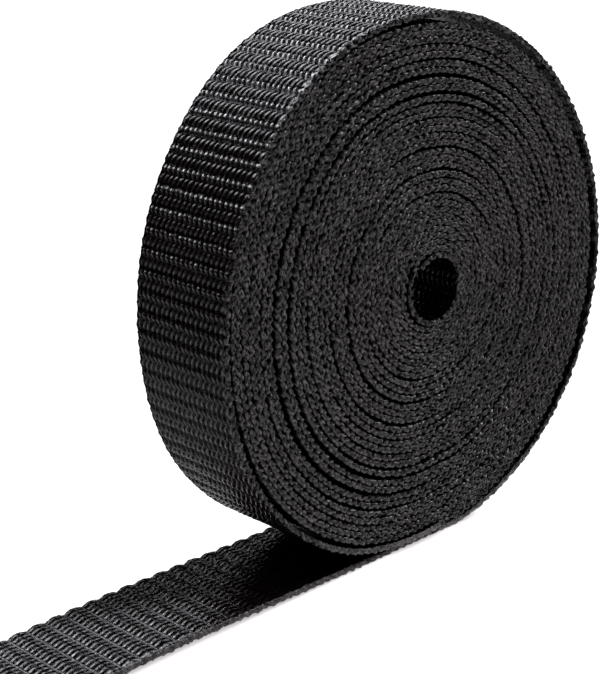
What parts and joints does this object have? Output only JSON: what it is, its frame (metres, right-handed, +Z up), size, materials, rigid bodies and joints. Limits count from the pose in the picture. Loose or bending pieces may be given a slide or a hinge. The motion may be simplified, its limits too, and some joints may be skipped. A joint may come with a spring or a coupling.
{
  "type": "roll of webbing",
  "caption": "Roll of woven polypropylene webbing standing on its rim, with a small centre hole, a slack outer turn and its free end run out flat.",
  "frame": {"origin": "on the floor under the roll's centre hole, at the middle of the roll's width, on the flat underside of the loose end", "axes": "+Z up, the hole runs along Y with the spiral face that is seen at -Y, and the loose end runs out along the floor towards -X"},
  "size_m": [0.1574, 0.0268, 0.109],
  "materials": {
    "webbing": "black woven polypropylene, matt with a faint sheen"
  },
  "bodies": {
    "root": {"wound_body": "webbing", "loose_end": "webbing"}
  },
  "joints": []
}
